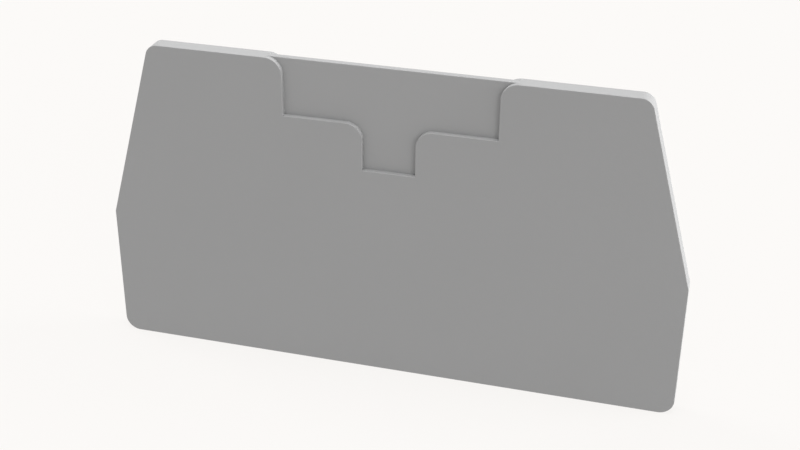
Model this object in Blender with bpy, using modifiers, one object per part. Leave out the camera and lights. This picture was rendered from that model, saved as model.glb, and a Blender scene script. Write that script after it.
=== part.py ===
# Terminal block end cover: one moulded plate with a stepped notch in its top edge, closed by a thin web.
# X runs along the cover, Y through its thickness and Z up. It stands on its bottom edge at Z = 0.
import math

import bmesh
import bpy
from mathutils import Matrix, Vector

# Outline of the plate, in metres
LENGTH = 0.0765
HEIGHT = 0.0432
UPRIGHT_HEIGHT = 0.0187  # the sides stand upright to here and lean in above
SIDE_LEAN = 0.00675  # how far each side has come in at the top edge
BOTTOM_CORNER_RADIUS = 0.0020
TOP_CORNER_RADIUS = 0.0016

# Through the thickness: the web lies in the middle and the plate stands proud of it on both faces
WEB_THICKNESS = 0.0009
RECESS_DEPTH = 0.00065
THICKNESS = WEB_THICKNESS + 2 * RECESS_DEPTH

# Stepped notch, wide above and narrow below
WIDE_NOTCH_LENGTH = 0.0275
WIDE_NOTCH_DEPTH = 0.00755  # down from the top edge
NARROW_NOTCH_LENGTH = 0.00685
NARROW_NOTCH_DEPTH = 0.00625  # down from the floor of the wide notch
MOUTH_RADIUS = 0.0022  # where the notch opens in the top edge
STEP_RADIUS = 0.0022  # where the wide notch drops to the narrow one
WEB_OVERLAP = 0.0006  # how far the web runs into the plate round the notch

# Moulded edges
EDGE_RADIUS = 0.00012
EDGE_SEGMENTS = 2
EDGE_ANGLE = math.radians(40)  # an edge that turns by more than this is rounded
ARC_STEP = math.radians(9)  # the largest turn between two points of a corner
MERGE_DISTANCE = 1e-7
FLAT_ANGLE = math.radians(0.1)

PLASTIC_COLOUR = (0.30, 0.30, 0.30, 1.0)
PLASTIC_ROUGHNESS = 0.5


def clear_scene():
    for old in list(bpy.data.objects):
        bpy.data.objects.remove(old, do_unlink=True)


def new_collection(name):
    collection = bpy.data.collections.new(name)
    bpy.context.scene.collection.children.link(collection)
    return collection


def plastic_material():
    material = bpy.data.materials.new("grey_plastic")
    material.diffuse_color = PLASTIC_COLOUR
    material.use_nodes = True
    surface = material.node_tree.nodes["Principled BSDF"]
    surface.inputs["Base Color"].default_value = PLASTIC_COLOUR
    surface.inputs["Roughness"].default_value = PLASTIC_ROUGHNESS
    surface.inputs["Metallic"].default_value = 0.0
    return material


def plate_corners():
    # Corners of the right half as (x, z, radius), up the side and down into the notch, then the left half
    notch_floor = HEIGHT - WIDE_NOTCH_DEPTH
    right_half = [
        (LENGTH / 2, 0, BOTTOM_CORNER_RADIUS),
        (LENGTH / 2, UPRIGHT_HEIGHT, 0),
        (LENGTH / 2 - SIDE_LEAN, HEIGHT, TOP_CORNER_RADIUS),
        (WIDE_NOTCH_LENGTH / 2, HEIGHT, MOUTH_RADIUS),
        (WIDE_NOTCH_LENGTH / 2, notch_floor, 0),
        (NARROW_NOTCH_LENGTH / 2, notch_floor, STEP_RADIUS),
        (NARROW_NOTCH_LENGTH / 2, notch_floor - NARROW_NOTCH_DEPTH, 0),
    ]
    left_half = [(-x, z, radius) for x, z, radius in reversed(right_half)]
    return right_half + left_half


def rounded_corner(before, corner, after, radius):
    # Points of the arc that stands in for a corner, or the corner itself where it is sharp
    if radius == 0:
        return [corner]
    to_before = (before - corner).normalized()
    to_after = (after - corner).normalized()
    half_angle = to_before.angle(to_after) / 2
    along_side = radius / math.tan(half_angle)
    centre = corner + (to_before + to_after).normalized() * radius / math.sin(half_angle)
    start = corner + to_before * along_side - centre
    end = corner + to_after * along_side - centre
    turn = -start.angle_signed(end)
    steps = math.ceil(abs(turn) / ARC_STEP)
    return [centre + Matrix.Rotation(turn * i / steps, 2) @ start for i in range(steps + 1)]


def rounded_outline(corners):
    places = [Vector((x, z)) for x, z, _ in corners]
    points = []
    for i, (_, _, radius) in enumerate(corners):
        after = places[(i + 1) % len(places)]
        points += rounded_corner(places[i - 1], places[i], after, radius)
    return points


def outline_curve(name, points, thickness):
    # A filled 2D curve, extruded both ways from its own plane
    curve = bpy.data.curves.new(name, "CURVE")
    curve.dimensions = "2D"
    curve.fill_mode = "BOTH"
    curve.extrude = thickness / 2
    spline = curve.splines.new("POLY")
    spline.points.add(len(points) - 1)
    for spline_point, point in zip(spline.points, points):
        spline_point.co = (point.x, point.y, 0, 1)
    spline.use_cyclic_u = True
    return curve


def close_mesh(mesh):
    # The curve's caps are welded to its sides, and each cap becomes one face
    shape = bmesh.new()
    shape.from_mesh(mesh)
    bmesh.ops.remove_doubles(shape, verts=shape.verts, dist=MERGE_DISTANCE)
    bmesh.ops.dissolve_limit(shape, angle_limit=FLAT_ANGLE, verts=shape.verts, edges=shape.edges)
    bmesh.ops.recalc_face_normals(shape, faces=shape.faces)
    shape.to_mesh(mesh)
    shape.free()


def add_edge_rounding(piece):
    rounding = piece.modifiers.new("edge_rounding", "BEVEL")
    rounding.width = EDGE_RADIUS
    rounding.segments = EDGE_SEGMENTS
    rounding.limit_method = "ANGLE"
    rounding.angle_limit = EDGE_ANGLE


def make_plate(collection):
    # The plate in its full thickness, with the notch open right through it
    curve = outline_curve("plate_outline", rounded_outline(plate_corners()), THICKNESS)
    outline = bpy.data.objects.new("plate_outline", curve)
    outline.rotation_euler = (math.radians(90), 0, 0)
    collection.objects.link(outline)
    bpy.context.view_layer.update()

    evaluated = outline.evaluated_get(bpy.context.evaluated_depsgraph_get())
    mesh = bpy.data.meshes.new_from_object(evaluated)
    mesh.name = "end_cover"
    close_mesh(mesh)
    mesh.shade_smooth()

    plate = bpy.data.objects.new("end_cover", mesh)
    plate.matrix_world = outline.matrix_world
    collection.objects.link(plate)
    bpy.data.objects.remove(outline, do_unlink=True)
    add_edge_rounding(plate)
    return plate


def make_web(collection):
    # A thin slab behind the whole notch: flush with the top edge, and buried in the plate all round
    low = HEIGHT - WIDE_NOTCH_DEPTH - NARROW_NOTCH_DEPTH - WEB_OVERLAP
    length = WIDE_NOTCH_LENGTH + 2 * (MOUTH_RADIUS + WEB_OVERLAP)
    bpy.ops.mesh.primitive_cube_add(size=1, location=(0, 0, (low + HEIGHT) / 2))
    web = bpy.context.object
    web.name = "notch_web"
    web.data.transform(Matrix.Diagonal((length, WEB_THICKNESS, HEIGHT - low, 1)))
    web.hide_render = True
    web.display_type = "WIRE"
    for owner in list(web.users_collection):
        owner.objects.unlink(web)
    collection.objects.link(web)
    add_edge_rounding(web)
    return web


def build_end_cover():
    cover = make_plate(new_collection("terminal_block_end_cover"))
    cover.data.materials.append(plastic_material())

    # MANIFOLD, because EXACT leaves doubled faces where the web's top is flush with the plate's
    joining = cover.modifiers.new("notch_web", "BOOLEAN")
    joining.operation = "UNION"
    joining.solver = "MANIFOLD"
    joining.object = make_web(new_collection("joined_shapes"))

    shading = cover.modifiers.new("even_shading", "WEIGHTED_NORMAL")
    shading.keep_sharp = True


clear_scene()
build_end_cover()
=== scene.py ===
import math

import bmesh
import bpy
from mathutils import Matrix, Vector


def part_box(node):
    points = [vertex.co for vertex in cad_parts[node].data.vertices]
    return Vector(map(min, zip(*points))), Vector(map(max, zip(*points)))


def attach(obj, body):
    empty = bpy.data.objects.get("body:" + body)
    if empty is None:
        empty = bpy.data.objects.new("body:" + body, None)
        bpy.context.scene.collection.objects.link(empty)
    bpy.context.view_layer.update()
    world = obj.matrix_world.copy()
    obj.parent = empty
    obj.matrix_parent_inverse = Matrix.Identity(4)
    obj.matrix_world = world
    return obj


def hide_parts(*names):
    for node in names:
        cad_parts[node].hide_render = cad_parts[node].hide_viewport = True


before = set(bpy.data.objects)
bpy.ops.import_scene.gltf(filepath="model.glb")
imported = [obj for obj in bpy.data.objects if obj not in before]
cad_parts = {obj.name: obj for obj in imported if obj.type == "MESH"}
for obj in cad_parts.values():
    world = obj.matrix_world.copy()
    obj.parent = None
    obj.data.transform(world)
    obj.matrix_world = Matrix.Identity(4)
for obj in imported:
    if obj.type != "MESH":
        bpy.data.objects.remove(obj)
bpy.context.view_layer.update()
low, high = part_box("end_cover")
length, thickness, height = high - low
frontY = low.y  # the face that the camera sees; the cover is centred on Y = 0
print("frame loaded: cover", [round(side * 1000, 2) for side in (length, thickness, height)], "mm")


# moulding
moulding = {
    "uprightHeight": 0.0187,  # the sides stand upright to here and lean in above
    "sideLean": 0.00675,
    "bendRadius": 0.0004,  # where a side starts to lean
    "bottomRadius": 0.0020,  # outer corners
    "topRadius": 0.0016,
    "webThickness": 0.0009,
    "wideLength": 0.0275,  # the stepped notch, wide above and narrow below
    "wideDepth": 0.00755,
    "narrowLength": 0.00685,
    "narrowDepth": 0.00625,
    "mouthRadius": 0.0022,  # where the notch opens in the top edge
    "stepRadius": 0.0022,  # where the wide part drops to the narrow one
    "webOverlap": 0.0006,  # how far the web runs into the plate
    "edgeRadius": 0.00008,
    "edgeSegments": 4,
    "arcStep": 4,  # degrees of turn for each piece of a rounded corner
    "creaseAngle": 35,  # degrees; a sharper edge than this stays crisp
}


def outlineCorners(m):
    # (x, z, radius) round the plate, right half up into the notch, then the left half back down
    shelf = height - m["wideDepth"]
    rightHalf = [
        (length / 2, 0, m["bottomRadius"]),
        (length / 2, m["uprightHeight"], m["bendRadius"]),
        (length / 2 - m["sideLean"], height, m["topRadius"]),
        (m["wideLength"] / 2, height, m["mouthRadius"]),
        (m["wideLength"] / 2, shelf, 0),
        (m["narrowLength"] / 2, shelf, m["stepRadius"]),
        (m["narrowLength"] / 2, shelf - m["narrowDepth"], 0),
    ]
    return rightHalf + [(-x, z, radius) for x, z, radius in reversed(rightHalf)]


def makePlate(m):
    corners = outlineCorners(m)
    bm = bmesh.new()
    points = [bm.verts.new((x, frontY, z)) for x, z, _ in corners]
    edges = [bm.edges.new((points[i - 1], points[i])) for i in range(len(points))]
    bmesh.ops.contextual_create(bm, geom=edges)

    places = [Vector((x, z)) for x, z, _ in corners]
    for i, (_, _, radius) in enumerate(corners):
        if not radius:
            continue
        before = (places[i - 1] - places[i]).normalized()
        after = (places[(i + 1) % len(places)] - places[i]).normalized()
        turn = math.pi - before.angle(after)
        bmesh.ops.bevel(
            bm,
            geom=[points[i]],
            offset=radius * math.tan(turn / 2),  # how far the arc starts from the corner
            offset_type="OFFSET",
            affect="VERTICES",
            segments=math.ceil(math.degrees(turn) / m["arcStep"]),
            profile=0.5,
            material=-1,
        )

    sides = bmesh.ops.extrude_face_region(bm, geom=bm.faces[:])["geom"]
    moved = [v for v in sides if isinstance(v, bmesh.types.BMVert)]
    bmesh.ops.translate(bm, verts=moved, vec=(0, thickness, 0))
    bmesh.ops.recalc_face_normals(bm, faces=bm.faces)
    rims = [e for e in bm.edges if abs(e.verts[0].co.y - e.verts[1].co.y) < thickness / 2]
    roundEdges(bm, rims, m)
    return asObject(bm, "coverPlate")


def makeWeb(m):
    # the thin wall that closes the notch: flush with the top edge and buried in the plate all round
    bottom = height - m["wideDepth"] - m["narrowDepth"] - m["webOverlap"]
    webLength = m["wideLength"] + 2 * (m["mouthRadius"] + m["webOverlap"])
    size = (webLength, m["webThickness"], height - bottom)
    bm = bmesh.new()
    bmesh.ops.create_cube(bm, size=1)
    bmesh.ops.scale(bm, vec=size, verts=bm.verts)
    bmesh.ops.translate(bm, vec=(0, 0, (bottom + height) / 2), verts=bm.verts)
    roundEdges(bm, bm.edges[:], m)
    return asObject(bm, "notchWeb")


def roundEdges(bm, edges, m):
    bmesh.ops.bevel(
        bm,
        geom=edges,
        offset=m["edgeRadius"],
        offset_type="OFFSET",
        affect="EDGES",
        segments=m["edgeSegments"],
        profile=0.5,
        material=-1,
    )


def asObject(bm, name):
    mesh = bpy.data.meshes.new(name)
    bm.to_mesh(mesh)
    bm.free()
    shape = bpy.data.objects.new(name, mesh)
    bpy.context.scene.collection.objects.link(shape)
    return shape


def makeMoulding(m):
    plate, web = makePlate(m), makeWeb(m)
    joining = plate.modifiers.new("joinWeb", "BOOLEAN")
    joining.operation = "UNION"
    joining.solver = "MANIFOLD"  # the web's top is flush with the plate's, which this solver joins cleanly
    joining.object = web
    graph = bpy.context.evaluated_depsgraph_get()
    mesh = bpy.data.meshes.new_from_object(plate.evaluated_get(graph))
    for helper in (plate, web):
        bpy.data.objects.remove(helper)

    mesh.name = "endCoverMoulding"
    mesh.shade_smooth()
    mesh.set_sharp_from_angle(angle=math.radians(m["creaseAngle"]))
    cover = bpy.data.objects.new("endCoverMoulding", mesh)
    bpy.context.scene.collection.objects.link(cover)
    shading = cover.modifiers.new("evenShading", "WEIGHTED_NORMAL")
    shading.keep_sharp = True
    return cover


# plastic
plastic = {
    "colour": (0.2705, 0.2713, 0.2728),
    "streakColour": (0.2635, 0.2643, 0.2658),
    "streakSize": 0.016,
    "streakDetail": 3,
    "roughness": (0.66, 0.76),  # follows the streaks
    "specular": 0.4,
    "grainSize": 0.00014,
    "grainDetail": 2,
    "grainDepth": 0.000012,
    "grainStrength": 1.0,
}


def makePlastic(p):
    material = bpy.data.materials.new("mouldedGreyPlastic")
    material.use_nodes = True
    nodes, links = material.node_tree.nodes, material.node_tree.links
    surface = nodes["Principled BSDF"]
    surface.inputs["Specular IOR Level"].default_value = p["specular"]
    place = nodes.new("ShaderNodeTexCoord")

    # broad, faint streaks where the melt ran
    streaks = nodes.new("ShaderNodeTexNoise")
    streaks.inputs["Scale"].default_value = 1 / p["streakSize"]
    streaks.inputs["Detail"].default_value = p["streakDetail"]
    links.new(place.outputs["Object"], streaks.inputs["Vector"])
    tint = nodes.new("ShaderNodeMix")
    tint.data_type = "RGBA"
    tint.inputs["A"].default_value = (*p["colour"], 1)
    tint.inputs["B"].default_value = (*p["streakColour"], 1)
    links.new(streaks.outputs["Fac"], tint.inputs["Factor"])
    links.new(tint.outputs["Result"], surface.inputs["Base Color"])

    # the fine spark-eroded grain of the mould
    grain = nodes.new("ShaderNodeTexNoise")
    grain.inputs["Scale"].default_value = 1 / p["grainSize"]
    grain.inputs["Detail"].default_value = p["grainDetail"]
    links.new(place.outputs["Object"], grain.inputs["Vector"])
    bump = nodes.new("ShaderNodeBump")
    bump.inputs["Strength"].default_value = p["grainStrength"]
    bump.inputs["Distance"].default_value = p["grainDepth"]
    links.new(grain.outputs["Fac"], bump.inputs["Height"])
    links.new(bump.outputs["Normal"], surface.inputs["Normal"])

    sheen = nodes.new("ShaderNodeMapRange")
    sheen.inputs["To Min"].default_value, sheen.inputs["To Max"].default_value = p["roughness"]
    links.new(streaks.outputs["Fac"], sheen.inputs["Value"])
    links.new(sheen.outputs["Result"], surface.inputs["Roughness"])
    return material


cover = makeMoulding(moulding)
cover.data.materials.clear()
cover.data.materials.append(makePlastic(plastic))
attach(cover, "root")
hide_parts("end_cover")
print("moulding made:", len(cover.data.polygons), "faces")


# studio
studio = {
    "white": (0.973, 0.956, 0.939),  # what the camera sees of the floor and the surroundings
    "dome": 0.71,
    "lamps": {
        # name: (strength, azimuth, elevation, softness), the last three in degrees
        "overheadLamp": (2.03, 0, 85, 24),
        "keyLamp": (0.72, 46, 22, 28),
        "rightLamp": (4.4, 100, 15, 36),
        "leftLamp": (2.2, 258, 24, 30),
    },
    "floorSize": 4,
    "shadowShare": 0.12,  # how much of the shadow on the floor the camera sees
    "bounceShadow": 0.25,  # how much of it dims the light that the floor sends back
}


def backgroundRays(tree):
    # 1 where the camera looks at the surroundings, straight or by a reflection
    paths = tree.nodes.new("ShaderNodeLightPath")
    total = paths.outputs["Is Camera Ray"]
    for name in ("Is Glossy Ray", "Is Transmission Ray"):
        either = tree.nodes.new("ShaderNodeMath")
        either.operation = "MAXIMUM"
        tree.links.new(total, either.inputs[0])
        tree.links.new(paths.outputs[name], either.inputs[1])
        total = either.outputs[0]
    return total


def mixShaders(tree, share, first, second):
    mix = tree.nodes.new("ShaderNodeMixShader")
    if isinstance(share, float):
        mix.inputs["Fac"].default_value = share
    else:
        tree.links.new(share, mix.inputs["Fac"])
    tree.links.new(first, mix.inputs[1])
    tree.links.new(second, mix.inputs[2])
    return mix.outputs[0]


def makeWorld(s):
    world = bpy.data.worlds.new("studioWorld")
    bpy.context.scene.world = world
    world.use_nodes = True
    tree = world.node_tree
    tree.nodes.clear()
    shades = []
    for colour, strength in (((1, 1, 1), s["dome"]), (s["white"], 1)):
        shade = tree.nodes.new("ShaderNodeBackground")
        shade.inputs["Color"].default_value = (*colour, 1)
        shade.inputs["Strength"].default_value = strength
        shades.append(shade.outputs[0])
    output = tree.nodes.new("ShaderNodeOutputWorld")
    tree.links.new(mixShaders(tree, backgroundRays(tree), *shades), output.inputs["Surface"])


def makeLamps(s):
    # returns how brightly all the lamps and the dome light a level white surface
    level = s["dome"]
    for name, (strength, azimuth, elevation, softness) in s["lamps"].items():
        lamp = bpy.data.lights.new(name, "SUN")
        lamp.energy = strength
        lamp.angle = math.radians(softness)
        holder = bpy.data.objects.new(name, lamp)
        holder.rotation_euler = (math.radians(90 - elevation), 0, math.radians(azimuth))
        bpy.context.scene.collection.objects.link(holder)
        level += strength / math.pi * math.sin(math.radians(elevation))
    return level


def makeFloor(s, level):
    bm = bmesh.new()
    bmesh.ops.create_grid(bm, x_segments=1, y_segments=1, size=s["floorSize"] / 2)
    floor = asObject(bm, "studioFloor")
    material = bpy.data.materials.new("floorPaint")
    material.use_nodes = True
    tree = material.node_tree
    tree.nodes.clear()
    paint = tree.nodes.new("ShaderNodeBsdfDiffuse")  # lit by the lamps it comes out at studio white
    paint.inputs["Color"].default_value = (*(c / level for c in s["white"]), 1)
    glow = tree.nodes.new("ShaderNodeEmission")
    glow.inputs["Color"].default_value = (*s["white"], 1)
    seen = mixShaders(tree, s["shadowShare"], glow.outputs[0], paint.outputs[0])
    bounce = mixShaders(tree, s["bounceShadow"], glow.outputs[0], paint.outputs[0])
    output = tree.nodes.new("ShaderNodeOutputMaterial")
    both = mixShaders(tree, backgroundRays(tree), bounce, seen)
    tree.links.new(both, output.inputs["Surface"])
    floor.data.materials.append(material)


makeWorld(studio)
makeFloor(studio, makeLamps(studio))
print("studio lit")


# camera
camera = {
    "azimuth": 14.80,
    "elevation": 28.26,
    "roll": 0.57,
    "distance": 0.18162,
    "aimAcross": 0.001724,  # the middle of the picture, from the foot of the front face
    "aimUp": 0.019517,
    "lens": 60.30,
    "clip": (0.01, 20),
}


def makeCamera(c):
    azimuth, elevation = math.radians(c["azimuth"]), math.radians(c["elevation"])
    turn = Matrix.Rotation(azimuth, 3, "Z") @ Matrix.Rotation(math.radians(90) - elevation, 3, "X")
    turn = turn @ Matrix.Rotation(math.radians(c["roll"]), 3, "Z")
    data = bpy.data.cameras.new("photoCamera")
    data.lens = c["lens"]
    data.clip_start, data.clip_end = c["clip"]
    holder = bpy.data.objects.new("photoCamera", data)
    aim = turn @ Vector((c["aimAcross"], c["aimUp"], c["distance"]))
    holder.matrix_world = Matrix.Translation(Vector((0, frontY, 0)) + aim) @ turn.to_4x4()
    bpy.context.scene.collection.objects.link(holder)
    bpy.context.scene.camera = holder


makeCamera(camera)
bpy.context.scene.view_settings.view_transform = "Standard"
print("camera set")
